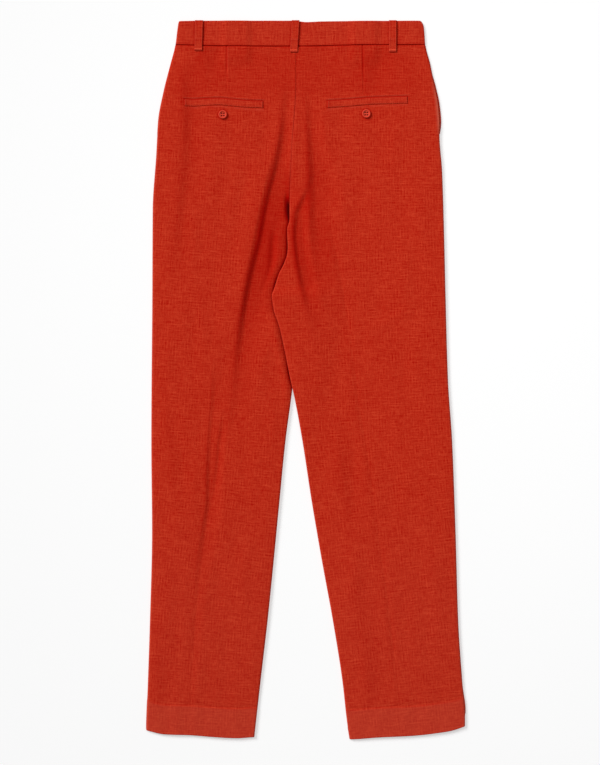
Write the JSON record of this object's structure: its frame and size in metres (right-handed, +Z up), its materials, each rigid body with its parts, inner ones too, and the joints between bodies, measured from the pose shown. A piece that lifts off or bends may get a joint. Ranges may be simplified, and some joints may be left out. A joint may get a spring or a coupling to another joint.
{
  "type": "chino trousers",
  "caption": "Straight-leg chino trousers in a slubby linen-look cloth, laid flat with the back up, with welted and buttoned hip pockets and a looped waistband.",
  "frame": {"origin": "middle of the outline in X and Y, on the surface that the trousers lie on", "axes": "+Y towards the waist, +X towards the wearer's right, +Z up from the surface; the back of the trousers is up"},
  "size_m": [0.4624, 1.043, 0.0083],
  "materials": {
    "linen": "rust-red plain weave with slubs, matt",
    "button": "coral-red moulded plastic, softly polished"
  },
  "bodies": {
    "root": {"back_left": "linen", "back_right": "linen", "front_left": "linen", "front_right": "linen", "pocket_facing_left": "linen", "pocket_facing_right": "linen", "waistband_back": "linen", "waistband_front_left": "linen", "waistband_front_right": "linen", "belt_loop_back_left": "linen", "belt_loop_back_centre": "linen", "belt_loop_back_right": "linen", "belt_loop_front_left": "linen", "belt_loop_front_right": "linen", "welt_left": "linen", "welt_right": "linen", "button_left": "button", "button_right": "button"}
  },
  "joints": []
}
